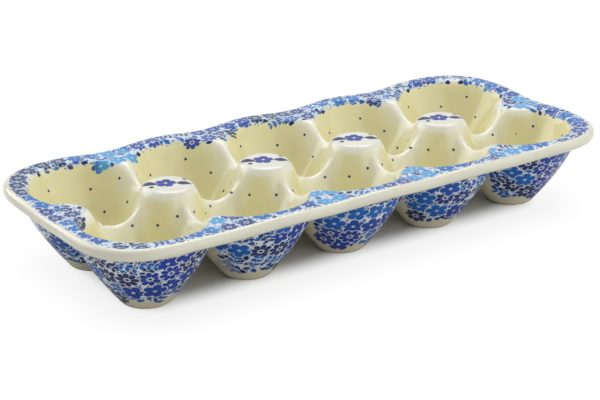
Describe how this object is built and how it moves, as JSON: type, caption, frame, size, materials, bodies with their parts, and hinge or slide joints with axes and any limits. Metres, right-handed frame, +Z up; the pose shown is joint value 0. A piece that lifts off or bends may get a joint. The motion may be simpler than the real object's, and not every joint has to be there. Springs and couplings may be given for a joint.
{
  "type": "egg crate",
  "caption": "Long glazed ceramic egg crate: rows of round egg cups sunk in a broad rim with a rounded wavy lip, and flat-topped posts between the cups, to hold hen's eggs upright.",
  "frame": {"origin": "middle of the footprint, on the surface that the cups stand on", "axes": "+X along the length, -Y to the front, +Z up"},
  "size_m": [0.325, 0.14, 0.0465],
  "materials": {
    "cup_glaze": "glossy ivory glaze, with small blue flowers printed on the outside",
    "post_glaze": "glossy cream glaze, with a small blue sprig on the flat top",
    "rim_glaze": "glossy glaze over small blue printed flowers, with a plain cream lip"
  },
  "bodies": {
    "root": {"egg_cup_front_1": "cup_glaze", "egg_cup_front_2": "cup_glaze", "egg_cup_front_3": "cup_glaze", "egg_cup_front_4": "cup_glaze", "egg_cup_front_5": "cup_glaze", "egg_cup_back_1": "cup_glaze", "egg_cup_back_2": "cup_glaze", "egg_cup_back_3": "cup_glaze", "egg_cup_back_4": "cup_glaze", "egg_cup_back_5": "cup_glaze", "post_1": "post_glaze", "post_2": "post_glaze", "post_3": "post_glaze", "post_4": "post_glaze", "rim_front_1": "rim_glaze", "rim_front_2": "rim_glaze", "rim_front_3": "rim_glaze", "rim_front_4": "rim_glaze", "rim_front_5": "rim_glaze", "rim_back_1": "rim_glaze", "rim_back_2": "rim_glaze", "rim_back_3": "rim_glaze", "rim_back_4": "rim_glaze", "rim_back_5": "rim_glaze"}
  },
  "joints": []
}
